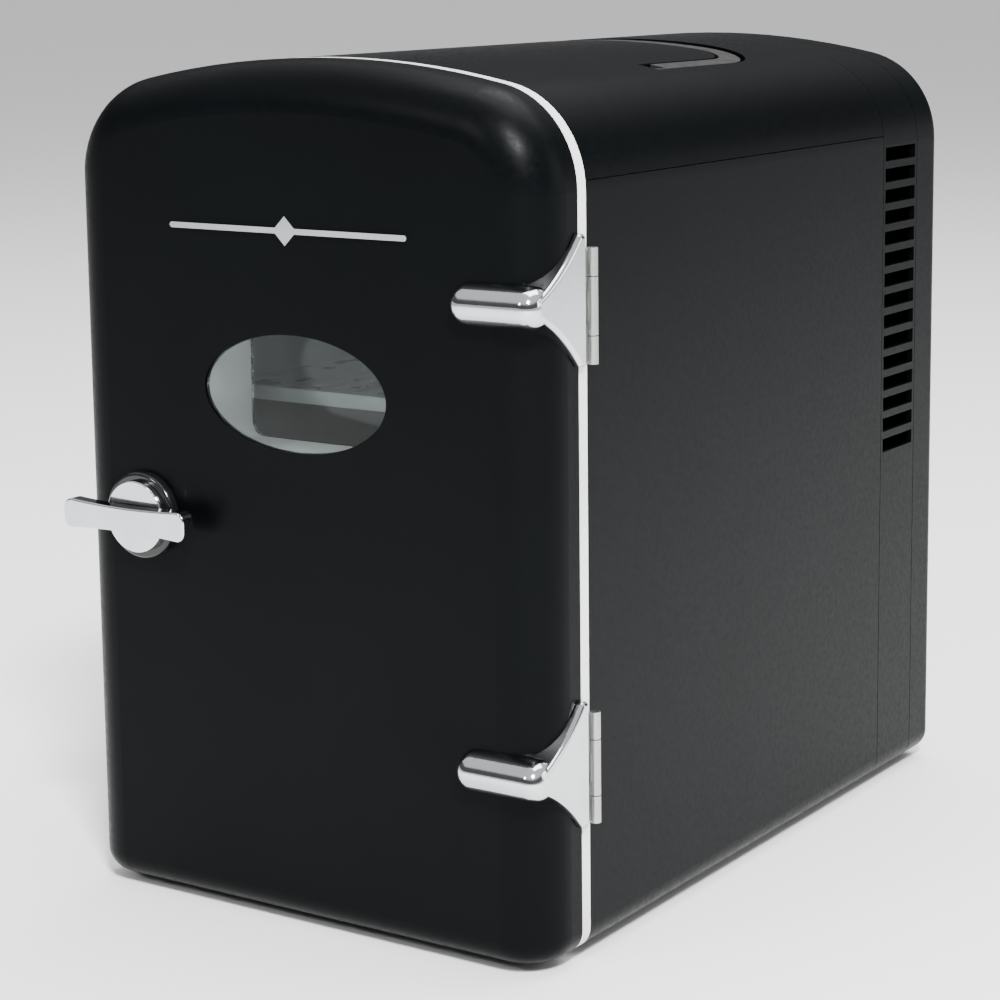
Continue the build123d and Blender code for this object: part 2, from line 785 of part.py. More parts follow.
# The rocker tips about an upright pivot: one side for cold, the middle for off, the other for warm.
with BuildPart() as switch_rocker:
    with BuildSketch(Plane.XY.offset(panel_z - rocker_tall)):
        with BuildLine():
            Polyline((switch_x - rocker_half, rocker_y + 5.6), (switch_x, rocker_y + 4.2),
                     (switch_x + rocker_half, rocker_y + 5.6), (switch_x + rocker_half - 1, rocker_y - 2),
                     (switch_x, rocker_y - 4), (switch_x - rocker_half + 1, rocker_y - 2), close=True)
        make_face()
    extrude(amount=2 * rocker_tall)
    with BuildSketch(Plane.XY.offset(panel_z - rocker_tall - 1.2)):
        with Locations((switch_x, rocker_y)):
            Circle(1.0 - running)
    extrude(amount=2 * rocker_tall + 2.4)
save(switch_rocker.part, "switch_rocker")


def inlet_part(x, w, h, r, opening_w, opening_h, opening_r, prong_gap, prong_r):
    """A two-pin socket body with its rim on the back of the rear cover."""
    with BuildPart() as inlet:
        with BuildSketch(facing_front(back_y - socket_depth)):
            with Locations((x, panel_z)):
                RectangleRounded(w, h, r)
        extrude(amount=-socket_depth)
        with BuildSketch(facing_front(back_y)):
            with Locations((x, panel_z)):
                RectangleRounded(w + 2 * flange_lip, h + 2 * flange_lip, r + flange_lip)
        extrude(amount=-flange_out)
        with BuildSketch(facing_front(back_y - socket_depth + 3)):
            with Locations((x, panel_z)):
                RectangleRounded(opening_w, opening_h, opening_r)
        extrude(amount=-socket_depth, mode=Mode.SUBTRACT)
    with BuildPart() as prongs:
        with BuildSketch(facing_front(back_y - socket_depth + 3)):
            with Locations((x - prong_gap / 2, panel_z), (x + prong_gap / 2, panel_z)):
                Circle(prong_r)
        extrude(amount=-(socket_depth - 5))
    return inlet.part, prongs.part


ac_prong_gap = 8.6
ac_inlet, ac_prongs = inlet_part(ac_x, ac_w, ac_h, 4.0, 18.0, 9.0, 4.4, ac_prong_gap, 1.1)
save(ac_inlet, "ac_inlet")
dc_inlet, dc_prongs = inlet_part(dc_x, dc_w, dc_h, 1.5, 14.0, 9.0, 1.0, 8.0, 1.0)
save(dc_inlet, "dc_inlet")
with BuildPart() as inlet_pins:
    add(ac_prongs)
    add(dc_prongs)
save(inlet_pins.part, "inlet_pins")

with BuildPart() as status_lamps:
    with BuildSketch(facing_front(back_inside - 4)):
        with Locations((lamp_x, panel_z + 4), (lamp_x, panel_z - 4)):
            Circle(lamp_r)
    extrude(amount=-(wall + 4.6))
save(status_lamps.part, "status_lamps")

wire_r = 1.0
wire_side = hot_fan_size / 2 + 6.0


def wire(points):
    """A wire of bundled leads along straight runs joined by arcs."""
    with BuildPart() as lead:
        with BuildLine() as path:
            FilletPolyline(*points, radius=4.0)
        with BuildSketch(Plane(origin=path.line @ 0, z_dir=path.line % 0)):
            Circle(wire_r)
        sweep()
    return lead.part


wire_start = board_top
with BuildPart() as fan_wires:
    for side in (-1, 1):
        x = side * 33
        add(wire([(x, board_y + 8, wire_start), (x, board_y + 8, 60),
                  (side * wire_side, board_y + 24, 76), (side * wire_side, board_y + 24, module_z - 45),
                  (side * wire_side, hot_fan_y + 4, module_z - 30)]))
save(fan_wires.part, "fan_wires")

# ================= Feet =================

foot_x = half - 24.0
foot_front = body_y + 22.0
foot_rear = back_y - 26.0
foot_r = 8.0
with BuildPart() as rubber_feet:
    with BuildSketch(Plane.XY):
        with Locations(*[(side * foot_x, y) for side in (-1, 1) for y in (foot_front, foot_rear)]):
            Circle(foot_r)
    extrude(amount=foot_height)
    fillet(rubber_feet.faces().sort_by(Axis.Z)[0:4].edges(), 0.8)
save(rubber_feet.part, "rubber_feet")

# ================= Door =================

door_outer = door_block(front_y, door_y)
door_inner = door_block(front_y + door_wall, door_y + 1, door_wall)
liner_front_y = door_y - door_liner_wall
tunnel_w = 2 * (window_a + tunnel_margin)
tunnel_h = 2 * (window_b + tunnel_margin)


def ellipse_block(a, b, y0, y1):
    """An elliptical bar along Y at the window."""
    with BuildPart() as block:
        with BuildSketch(facing_front(y0)):
            with Locations((window_x, window_z)):
                Ellipse(a, b)
        extrude(amount=y0 - y1)
    return block.part


def tunnel_block(grow, y0, y1):
    """A rounded rectangular bar along Y at the window, grown by a margin."""
    return box_block(window_x - tunnel_w / 2 - grow, window_x + tunnel_w / 2 + grow, y0, y1,
                     window_z - tunnel_h / 2 - grow, window_z + tunnel_h / 2 + grow, tunnel_corner_r + grow)


latch_bore = rod(latch_x, latch_z, front_y - 1, door_y + 1, spindle_r + apart)

with BuildPart() as door_shell:
    add(door_outer)
    add(door_inner, mode=Mode.SUBTRACT)
    add(ellipse_block(window_a, window_b, front_y - 1, front_y + door_wall + 1), mode=Mode.SUBTRACT)
    add(latch_bore, mode=Mode.SUBTRACT)
save(door_shell.part, "door_shell")

gasket_half_x = mouth_half + 6.5
gasket_half_z = mouth_height / 2 + 6.5
gasket_width = 4.5
gasket_depth = 1.6


def gasket_ring(grow, y0, y1):
    """A rounded rectangular ring round the cabinet's mouth."""
    outer_r = inner_r + 6.5 + grow
    inner_x = gasket_half_x - gasket_width - grow
    inner_z = gasket_half_z - gasket_width - grow
    with BuildPart() as ring:
        with BuildSketch(facing_front(y0)):
            with Locations((0, mouth_z)):
                RectangleRounded(2 * (gasket_half_x + grow), 2 * (gasket_half_z + grow), outer_r)
                RectangleRounded(2 * inner_x, 2 * inner_z, inner_r, mode=Mode.SUBTRACT)
        extrude(amount=y0 - y1)
    return ring.part


plug_half_x = mouth_half - 12.5
plug_half_z = mouth_height / 2 - 5.0
plug_r = 8.0

with BuildPart() as door_liner:
    add(arch_block(liner_front_y, door_y, door_wall + fit))
    add(box_block(-plug_half_x, plug_half_x, door_y, door_y + plug_height,
                  mouth_z - plug_half_z, mouth_z + plug_half_z, plug_r))
    fillet(door_liner.faces().sort_by(Axis.Y)[-1].edges(), 2.0)
    add(box_block(-plug_half_x + 2, plug_half_x - 2, liner_front_y - 1, door_y + plug_height - 2.0,
                  mouth_z - plug_half_z + 2, mouth_z + plug_half_z - 2, plug_r - 2), mode=Mode.SUBTRACT)
    add(tunnel_block(tunnel_wall + fit, liner_front_y - 1, door_y + plug_height + 1), mode=Mode.SUBTRACT)
    add(rod(latch_x, latch_z, liner_front_y - 1, door_y + 1, spindle_r + apart), mode=Mode.SUBTRACT)
    add(gasket_ring(fit, door_y - gasket_depth - fit, door_y + 1), mode=Mode.SUBTRACT)
save(door_liner.part, "door_liner")

door_gasket = gasket_ring(0, door_y - gasket_depth - fit, door_y - 0.0)
save(door_gasket, "door_gasket")

with BuildPart() as door_foam:
    add(door_block(front_y + door_wall + fit, door_y + 1, door_wall + fit))
    add(box_block(-half, half, liner_front_y - fit, door_y + 2, 0, height), mode=Mode.SUBTRACT)
    add(tunnel_block(tunnel_wall + fit, front_y, door_y), mode=Mode.SUBTRACT)
    add(rod(latch_x, latch_z, front_y, door_y, spindle_r + 2 * apart), mode=Mode.SUBTRACT)
save(door_foam.part, "door_foam")

# The window: an outer lens set into the oval, a boxed tunnel through the door, and an inner pane.
window_flange_y = front_y + door_wall + 0.05
with BuildPart() as window_lens:
    add(ellipse_block(window_a - lens_gap, window_b - lens_gap, front_y + 0.9, window_flange_y))
    add(tunnel_block(-fit, window_flange_y, window_flange_y + 1.2))
save(window_lens.part, "window_lens")

pane_thickness = 1.5
pane_y = door_y + plug_height - pane_thickness
tunnel_y = window_flange_y + 0.02
with BuildPart() as window_tunnel:
    add(tunnel_block(tunnel_wall, tunnel_y, door_y + plug_height))
    add(tunnel_block(0, tunnel_y - 1, door_y + plug_height + 1), mode=Mode.SUBTRACT)
save(window_tunnel.part, "window_tunnel")

with BuildPart() as window_pane:
    add(tunnel_block(-fit, pane_y, door_y + plug_height))
save(window_pane.part, "window_pane")

badge_drop = 52.0
badge_z = height - badge_drop
badge_length = 92.0
badge_width = 1.8
badge_diamond = 4.6
badge_depth = 1.2
with BuildPart() as door_badge:
    with BuildSketch(facing_front(front_y)):
        with Locations((0, badge_z)):
            SlotOverall(badge_length, badge_width)
            RegularPolygon(badge_diamond, 4, rotation=0)
    extrude(amount=badge_depth)
save(door_badge.part, "door_badge")

# ================= Latch =================

escutcheon_y = front_y - escutcheon_depth
disc_back_y = escutcheon_y - door_gap
disc_y = disc_back_y - disc_depth
lever_back_y = disc_y - neck_depth
lever_y = lever_back_y - lever_depth

with BuildPart() as latch_escutcheon:
    with BuildSketch(facing_front(front_y)):
        with Locations(latch_on):
            Circle(escutcheon_r)
    extrude(amount=escutcheon_depth)
    fillet(latch_escutcheon.faces().sort_by(Axis.Y)[0].edges(), 1.2)
    with BuildSketch(facing_front(front_y)):
        with Locations(latch_on):
            Circle(spindle_r + running)
    extrude(amount=escutcheon_depth, mode=Mode.SUBTRACT)
save(latch_escutcheon.part, "latch_escutcheon")


def lever_outline():
    """The lever's front outline: a bar with a slim waist."""
    end_x = lever_length / 2
    end_z = lever_end / 2
    waist_z = lever_waist / 2
    with BuildSketch() as outline:
        with BuildLine():
            ThreePointArc((-end_x, end_z), (0, waist_z), (end_x, end_z))
            Line((end_x, end_z), (end_x, -end_z))
            ThreePointArc((end_x, -end_z), (0, -waist_z), (-end_x, -end_z))
            Line((-end_x, -end_z), (-end_x, end_z))
        make_face()
    return outline.sketch


arc_r = 8.3
arc_width = 0.9
arc_depth = 0.35
with BuildPart() as latch_disc:
    with BuildSketch(facing_front(disc_back_y)):
        with Locations(latch_on):
            Circle(disc_r)
    extrude(amount=disc_depth)
    fillet(latch_disc.faces().sort_by(Axis.Y)[0].edges(), 0.4)
    with BuildSketch(facing_front(disc_y)):
        with Locations(latch_on):
            SlotArc(CenterArc((0, 0), arc_r, 62, 56), arc_width)
            SlotArc(CenterArc((0, 0), arc_r, 242, 56), arc_width)
    extrude(amount=-arc_depth, mode=Mode.SUBTRACT)
    with BuildSketch(facing_front(disc_back_y)):
        with Locations(latch_on):
            Circle(spindle_r)
    extrude(amount=disc_depth, mode=Mode.SUBTRACT)
save(latch_disc.part, "latch_disc")

with BuildPart() as latch_lever:
    with BuildSketch(facing_front(disc_y)):
        with Locations(latch_on):
            SlotOverall(2 * disc_r - 3.0, lever_waist - 1.4)
    extrude(amount=neck_depth)
    with BuildSketch(facing_front(lever_back_y)):
        with Locations(latch_on):
            add(lever_outline())
    extrude(amount=lever_depth)
    corners = latch_lever.edges().filter_by(Axis.Y).sort_by(SortBy.LENGTH)[-4:]
    fillet(corners, 3.2)
    fillet(latch_lever.faces().sort_by(Axis.Y)[0].edges(), 0.6)
save(latch_lever.part, "latch_lever")

cam_y = body_y + strike_gap
with BuildPart() as latch_spindle:
    with BuildSketch(facing_front(disc_y)):
        with Locations(latch_on):
            Circle(spindle_r)
    extrude(amount=-(cam_y + cam_thickness + nut_depth - disc_y))
save(latch_spindle.part, "latch_spindle")

with BuildPart() as latch_cam:
    with BuildSketch(facing_front(cam_y)):
        with Locations(latch_on):
            Circle(hub_r)
        with Locations((latch_x, latch_z + (cam_reach - cam_width / 2) / 2)):
            Rectangle(cam_width, cam_reach - cam_width / 2)
        with Locations((latch_x, latch_z + cam_reach - cam_width / 2)):
            Circle(cam_width / 2)
        with Locations(latch_on):
            Circle(spindle_r, mode=Mode.SUBTRACT)
    extrude(amount=-cam_thickness)
save(latch_cam.part, "latch_cam")

with BuildPart() as latch_nut:
    with BuildSketch(facing_front(cam_y + cam_thickness)):
        with Locations(latch_on):
            RegularPolygon(hub_r, 6)
            Circle(spindle_r, mode=Mode.SUBTRACT)
    extrude(amount=-nut_depth)
save(latch_nut.part, "latch_nut")

# ================= Hinges =================

leaf_inner_x = hinge_x - leaf_reach
door_leaf_x = hinge_x - barrel_r
knuckle_gap = 0.3
middle = leaf_height / 2


def upright_rod(z0, z1, r):
    """A round rod on the hinge axis."""
    with BuildPart() as block:
        with BuildSketch(Plane.XY.offset(z0)):
            with Locations((hinge_x, hinge_y)):
                Circle(r)
        extrude(amount=z1 - z0)
    return block.part


def screw_hole_heights(z):
    return (z - leaf_height / 2 + 6, z + leaf_height / 2 - 6)


leaf_hole_x = half - 11.0
tongue_reach = 12.0
tongue_half = 4.5
tongue_holes = (4.0, 9.0)


def body_leaf_part(z):
    """The cabinet's leaf: a plate between the frame and the shell, with the two outer knuckles."""
    low, high = z - leaf_height / 2, z + leaf_height / 2
    clear = middle / 2 + knuckle_gap
    with BuildPart() as leaf:
        add(box_block(leaf_inner_x, hinge_x, leaf_y, leaf_y + leaf_thickness, low, high))
        for z0, z1 in ((low, z - clear), (z + clear, high)):
            add(upright_rod(z0, z1, barrel_r))
        add(box_block(half, hinge_x + barrel_r + 1, leaf_y - 5, leaf_y + 5, z - clear, z + clear),
            mode=Mode.SUBTRACT)
        add(upright_rod(low - 1, high + 1, pin_r), mode=Mode.SUBTRACT)
        for hole_z in screw_hole_heights(z):
            add(rod(leaf_hole_x, hole_z, leaf_y - 1, leaf_y + 2, hinge_screw_r), mode=Mode.SUBTRACT)
    return leaf.part


def door_leaf_part(z):
    """The door's leaf: a strip over the frame, a tongue under the cover, and the middle knuckle."""
    low, high = z - leaf_height / 2, z + leaf_height / 2
    clear = middle / 2
    with BuildPart() as leaf:
        add(box_block(door_leaf_x, door_leaf_x + leaf_thickness, door_y - 1, hinge_y - barrel_r - 0.4,
                      low, high))
        add(box_block(door_leaf_x, door_leaf_x + leaf_thickness, door_y - tongue_reach, hinge_y,
                      z - tongue_half, z + tongue_half))
        add(upright_rod(z - clear, z + clear, barrel_r))
        add(upright_rod(low - 1, high + 1, pin_r + running), mode=Mode.SUBTRACT)
        for reach in tongue_holes:
            add(cross_rod(door_leaf_x - 1, door_leaf_x + 2, door_y - reach, z, hinge_screw_r),
                mode=Mode.SUBTRACT)
    return leaf.part


def cover_part(z):
    """A chromed cover: a rounded finger on the door's front and a flared plate on its side."""
    face_x = half + cover_proud
    flare_x = half - door_roll
    plate_back = door_y + 0.9
    tip_y = plate_back - 2 * cover_tip_r
    plate_front = front_y - cover_vertex
    finger_y = front_y + 0.5
    finger_deep = finger_proud + 0.5
    finger_end_r = 0.9 * finger_half ** 2 / max(finger_deep, finger_half)
    with BuildPart() as flare:
        with BuildSketch(Plane.YZ.offset(flare_x)):
            with BuildLine():
                Line((plate_back, z - cover_half), (plate_back, z + cover_half))
                Line((plate_back, z + cover_half), (tip_y, z + cover_half))
                TangentArc((tip_y, z + cover_half), (plate_front, z + cover_vertex_half), tangent=(-0.64, -0.77))
                Line((plate_front, z + cover_vertex_half), (plate_front, z - cover_vertex_half))
                TangentArc((tip_y, z - cover_half), (plate_front, z - cover_vertex_half), tangent=(-0.64, 0.77))
                Line((tip_y, z - cover_half), (plate_back, z - cover_half))
            make_face()
        extrude(amount=face_x - flare_x)
        along = flare.edges().filter_by(Axis.X)
        fillet([edge for edge in along if abs(edge.center().Y - tip_y) < 0.1], cover_tip_r)
        rim = flare.faces().sort_by(Axis.X)[-1].edges()
        fillet([edge for edge in rim if edge.center().Y < plate_back - 0.1], 0.6 * cover_proud)
    with BuildPart() as finger:
        with BuildSketch(Plane.YZ.offset(face_x - finger_length)):
            with Locations((finger_y, z)):
                Ellipse(finger_deep, finger_half)
        extrude(amount=finger_length)
        fillet(finger.faces().sort_by(Axis.X)[0].edges(), finger_end_r)
        fillet(finger.faces().sort_by(Axis.X)[-1].edges(), finger_end_r)
    leaf_x = door_leaf_x + leaf_thickness + 0.05
    strip = box_block(half - 2, leaf_x, door_y - 1 - fit, plate_back + 1,
                      z - leaf_height / 2 - hinge_cover_lift - fit, z + leaf_height / 2 - hinge_cover_lift + fit)
    tongue = box_block(half - 2, leaf_x, door_y - tongue_reach - fit, plate_back + 1,
                       z - tongue_half - hinge_cover_lift - fit, z + tongue_half - hinge_cover_lift + fit)
    with BuildPart() as cover:
        add(flare.part)
        add(finger.part)
        add(door_outer, mode=Mode.SUBTRACT)
        add(strip, mode=Mode.SUBTRACT)
        add(tongue, mode=Mode.SUBTRACT)
        add(box_block(-half, half + 10, door_y, body_y, 0, height), mode=Mode.SUBTRACT)
        add(box_block(-half, half + door_gap, front_y + door_roll, body_y, 0, height), mode=Mode.SUBTRACT)
    return cover.part


with BuildPart() as hinge_pins:
    for z in hinge_heights:
        add(upright_rod(z - leaf_height / 2, z + leaf_height / 2, pin_r))
save(hinge_pins.part, "hinge_pins")

for place, z in zip(("top", "bottom"), hinge_heights):
    save(body_leaf_part(z), f"body_leaf_{place}")
    save(door_leaf_part(z), f"door_leaf_{place}")
    save(cover_part(z + hinge_cover_lift), f"hinge_cover_{place}")
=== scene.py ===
"""Finishes, small fittings and a studio stage for a small rounded-top fridge."""

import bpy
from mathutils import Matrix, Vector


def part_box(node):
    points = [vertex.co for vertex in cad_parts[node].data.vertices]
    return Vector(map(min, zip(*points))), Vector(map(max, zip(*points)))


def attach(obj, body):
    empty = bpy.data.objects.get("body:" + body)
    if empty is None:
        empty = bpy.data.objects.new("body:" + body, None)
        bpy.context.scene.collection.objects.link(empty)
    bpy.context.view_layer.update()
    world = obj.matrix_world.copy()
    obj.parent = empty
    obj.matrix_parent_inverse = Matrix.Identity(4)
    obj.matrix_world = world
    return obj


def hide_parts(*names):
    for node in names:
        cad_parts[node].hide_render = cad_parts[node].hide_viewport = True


bl_info = {
    "name": "Small Rounded Fridge",
    "version": (1, 0, 0),
    "blender": (4, 5, 0),
    "location": "View3D > Sidebar > Fridge",
    "description": "Finishes and fittings for a small rounded-top fridge with a window and a carry handle",
    "category": "Object",
}

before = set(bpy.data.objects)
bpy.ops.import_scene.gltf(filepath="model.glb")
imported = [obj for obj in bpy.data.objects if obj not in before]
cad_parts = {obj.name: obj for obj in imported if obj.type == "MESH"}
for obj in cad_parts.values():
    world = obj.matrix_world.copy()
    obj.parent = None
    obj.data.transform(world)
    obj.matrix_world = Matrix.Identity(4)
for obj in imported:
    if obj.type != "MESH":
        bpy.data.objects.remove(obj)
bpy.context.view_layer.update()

from math import cos, pi, radians, sin

import bpy
from mathutils import Matrix, Vector

# Lengths are in metres and angles in degrees.
SURROUND_WHITE = (1.0, 1.0, 1.0, 1.0)
# Each stop's height over the horizon, from 0 to 1 overhead, and its brightness.
SURROUND_STOPS = ((0.05, 1.0), (0.12, 0.10), (0.42, 0.14), (0.55, 0.95))
SURROUND_BLUE = 1.02
# Each light's place, aim, side and power in watts.
LIGHTS = {
    "top_light": ((0.1, 0.5, 1.9), (0.0, 0.0, 0.15), 1.5, 50.0),
    "side_light": ((1.7, 0.9, 0.7), (0.0, 0.0, 0.12), 0.8, 8.0),
    "front_light": ((-0.7, -1.9, 1.3), (0.0, 0.0, 0.14), 0.35, 12.0),
    "corner_light": ((1.0, -1.1, 1.45), (0.08, -0.12, 0.24), 0.3, 90.0),
}
CAMERA_PLACE = (0.50241, -0.76614, 0.30872)
CAMERA_YAW, CAMERA_PITCH, CAMERA_ROLL = 33.817, 9.226, -0.677
CAMERA_SHIFT = -0.12
CAMERA_SENSOR_MM = 36.0
CAMERA_NEAR, CAMERA_FAR = 0.05, 60.0
# The seal's strip, the bend at its corners, and the shares of its width between its edge loops.
SEAL_WIDTH = 0.0045
SEAL_BEND = 0.016
SEAL_STEPS = (0.3, 0.2, 0.2, 0.3)
SEAL_EDGE = 0.0003
SEAL_SLACK = 0.0001
SEAL_OVERRUN = 0.0003

# ---------------------------------------------------------------- helpers


def fresh():
    """Leave edit mode and deselect everything, so that an operator acts on one piece only."""
    if bpy.context.object and bpy.context.object.mode != "OBJECT":
        bpy.ops.object.mode_set(mode="OBJECT")
    bpy.ops.object.select_all(action="DESELECT")


def settle(piece, name, body, finish):
    """Name a piece, put its place in its mesh, give it its finish and let it ride on its body."""
    fresh()
    piece.name = name
    piece.data.name = name
    piece.select_set(True)
    bpy.context.view_layer.objects.active = piece
    bpy.ops.object.transform_apply(location=True, rotation=True, scale=True)
    piece.data.materials.clear()
    piece.data.materials.append(finish)
    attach(piece, body)
    return piece


def paint(finish, *nodes):
    """Give CAD nodes a finish."""
    for name in nodes:
        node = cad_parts[name]
        node.data.materials.clear()
        node.data.materials.append(finish)


def make_finish(name, base, roughness, metallic=0.0):
    """A node material with its plain values on the shader's own sockets."""
    finish = bpy.data.materials.new(name)
    finish.use_nodes = True
    tree = finish.node_tree
    shader = tree.nodes["Principled BSDF"]
    shader.inputs["Base Color"].default_value = (*base[:3], 1.0)
    shader.inputs["Roughness"].default_value = roughness
    shader.inputs["Metallic"].default_value = metallic
    return finish, tree, shader


def grain(tree, scale, detail=3.0, stretch=(1.0, 1.0, 1.0)):
    """Noise in the piece's own metres, stretched where the surface was worked in one direction."""
    place = tree.nodes.new("ShaderNodeTexCoord")
    turn = tree.nodes.new("ShaderNodeMapping")
    turn.inputs["Scale"].default_value = stretch
    tree.links.new(place.outputs["Object"], turn.inputs["Vector"])
    noise = tree.nodes.new("ShaderNodeTexNoise")
    noise.inputs["Scale"].default_value = scale
    noise.inputs["Detail"].default_value = detail
    tree.links.new(turn.outputs["Vector"], noise.inputs["Vector"])
    return noise.outputs["Fac"]


def cells(tree, scale):
    """Closed cells, as in foam or cast rubber."""
    place = tree.nodes.new("ShaderNodeTexCoord")
    pattern = tree.nodes.new("ShaderNodeTexVoronoi")
    pattern.inputs["Scale"].default_value = scale
    tree.links.new(place.outputs["Object"], pattern.inputs["Vector"])
    return pattern.outputs["Distance"]


def spread(tree, value, socket, low, high, start=0.3, end=0.7):
    """Let a pattern move a socket between two values."""
    span = tree.nodes.new("ShaderNodeMapRange")
    span.inputs["From Min"].default_value = start
    span.inputs["From Max"].default_value = end
    span.inputs["To Min"].default_value = low
    span.inputs["To Max"].default_value = high
    tree.links.new(value, span.inputs["Value"])
    tree.links.new(span.outputs["Result"], socket)


def mottle(tree, value, shader, dark, light, start=0.3, end=0.7):
    """Let a pattern move the colour between two shades."""
    ramp = tree.nodes.new("ShaderNodeValToRGB")
    ramp.color_ramp.elements[0].position = start
    ramp.color_ramp.elements[0].color = (*dark[:3], 1.0)
    ramp.color_ramp.elements[1].position = end
    ramp.color_ramp.elements[1].color = (*light[:3], 1.0)
    tree.links.new(value, ramp.inputs["Fac"])
    tree.links.new(ramp.outputs["Color"], shader.inputs["Base Color"])


def relief(tree, shader, height, depth, strength):
    """Raise the surface by a pattern, depth in metres."""
    bump = tree.nodes.new("ShaderNodeBump")
    bump.inputs["Distance"].default_value = depth
    bump.inputs["Strength"].default_value = strength
    tree.links.new(height, bump.inputs["Height"])
    tree.links.new(bump.outputs["Normal"], shader.inputs["Normal"])


def shade(colour, factor):
    """A colour made darker or lighter."""
    return tuple(min(1.0, channel * factor) for channel in colour[:3])


def moulded(name, colour, roughness, scale=1500.0, depth=0.00003, strength=0.3, level=0.5):
    """Moulded plastic: a fine spark-eroded grain, a faint mottle and an uneven sheen."""
    finish, tree, shader = make_finish(name, colour, roughness)
    shader.inputs["Specular IOR Level"].default_value = level
    fine = grain(tree, scale, 2.0)
    mottle(tree, grain(tree, 18.0), shader, shade(colour, 0.82), shade(colour, 1.12))
    spread(tree, grain(tree, scale / 6), shader.inputs["Roughness"], roughness * 0.85, roughness * 1.18)
    relief(tree, shader, fine, depth, strength)
    return finish


def bright_metal(name, colour, low, high, stretch=(1.0, 1.0, 1.0), scale=90.0, depth=0.0, strength=0.0):
    """Metal whose polish varies with handling, or with the direction that it was brushed in."""
    finish, tree, shader = make_finish(name, colour, low, 1.0)
    marks = grain(tree, scale, 4.0, stretch)
    spread(tree, marks, shader.inputs["Roughness"], low, high)
    mottle(tree, marks, shader, shade(colour, 0.93), shade(colour, 1.03))
    if depth:
        relief(tree, shader, marks, depth, strength)
    return finish


# ---------------------------------------------------------------- settings


def colour_setting(name, description, default):
    """A colour that the panel shows."""
    return bpy.props.FloatVectorProperty(
        name=name, description=description, subtype="COLOR", size=3, min=0.0, max=1.0, default=default
    )


def length_setting(name, description, default):
    """A length that the panel shows."""
    return bpy.props.FloatProperty(
        name=name, description=description, unit="LENGTH", subtype="DISTANCE",
        min=0.0, default=default, precision=5,
    )


def share_setting(name, description, default):
    """A share from 0 to 1 that the panel shows."""
    return bpy.props.FloatProperty(
        name=name, description=description, subtype="FACTOR", min=0.0, max=1.0, default=default
    )


class FridgeFinishes(bpy.types.PropertyGroup):
    """Colours and sheens."""

    shell: colour_setting("Shell", "Colour of the cabinet and the door", (0.0012, 0.0017, 0.0020))
    shell_roughness: share_setting("Shell sheen", "Roughness of the cabinet and the door", 0.37)
    shell_level: share_setting("Shell gloss level", "How strongly the cabinet mirrors its surroundings", 0.05)
    door_level: share_setting("Door gloss level", "How strongly the door mirrors its surroundings", 0.05)
    trim: colour_setting("Trim", "Colour of the frame between the cabinet and the door", (0.84, 0.85, 0.85))
    chrome: colour_setting("Chrome", "Colour of the plated fittings", (0.62, 0.635, 0.655))
    steel: colour_setting("Steel", "Colour of the hinge metal", (0.42, 0.425, 0.415))
    liner: colour_setting("Liner", "Colour of the inside", (0.70, 0.72, 0.72))
    fittings: colour_setting("Fittings", "Colour of the small black mouldings", (0.018, 0.018, 0.019))
    lens: colour_setting("Lens", "Tint of the window", (0.90, 0.94, 0.94))
    foam: colour_setting("Foam", "Colour of the insulation", (0.83, 0.78, 0.62))
    gasket: colour_setting("Gasket", "Colour of the door seal", (0.62, 0.64, 0.64))


class FridgeStage(bpy.types.PropertyGroup):
    """Floor, lights and camera."""

    floor: length_setting("Floor", "Side of the floor", 90.0)
    floor_colour: colour_setting("Floor colour", "Colour of the floor", (0.95, 0.95, 0.95))
    lens_mm: bpy.props.FloatProperty(
        name="Lens", description="Focal length of the camera in millimetres", default=94.859, min=1.0
    )
    surround: bpy.props.FloatProperty(
        name="Surround", description="Strength of the even light all round", default=0.95, min=0.0
    )


# ---------------------------------------------------------------- finishes on the CAD pieces


class FRIDGE_OT_shell(bpy.types.Operator):
    """Satin black on the cabinet, the covers and the door"""

    bl_idname = "fridge.shell"
    bl_label = "Shell"

    def execute(self, context):
        look = context.scene.fridge_finishes
        shells = (
            ("satin_shell", look.shell_level, ("body_shell", "top_cover", "rear_housing", "rear_cover")),
            ("satin_door", look.door_level, ("door_shell",)),
        )
        for name, level, nodes in shells:
            finish = moulded(name, look.shell, look.shell_roughness, 3200.0, 0.00003, 0.28, level)
            paint(finish, *nodes)
        return {"FINISHED"}


class FRIDGE_OT_trim(bpy.types.Operator):
    """White gloss on the front frame and the back of the door"""

    bl_idname = "fridge.trim"
    bl_label = "Trim"

    def execute(self, context):
        look = context.scene.fridge_finishes
        finish = moulded("white_trim", look.trim, 0.24, 700.0, 0.00001, 0.15)
        paint(finish, "front_frame", "door_liner")
        return {"FINISHED"}


class FRIDGE_OT_interior(bpy.types.Operator):
    """Pale vacuum-formed plastic inside, with the shelf and the fan grille"""

    bl_idname = "fridge.interior"
    bl_label = "Interior"

    def execute(self, context):
        look = context.scene.fridge_finishes
        finish = moulded("liner_plastic", look.liner, 0.38, 420.0, 0.00005, 0.25)
        paint(finish, "inner_liner", "cold_fan_grille", "window_tunnel")
        # The shelf takes the liner's plastic made a quarter lighter: painted light, since the inside is lit
        # only through the window.
        paint(moulded("shelf_painted_light", shade(look.liner, 1.25), 0.3, 520.0, 0.00003, 0.2), "shelf")
        return {"FINISHED"}


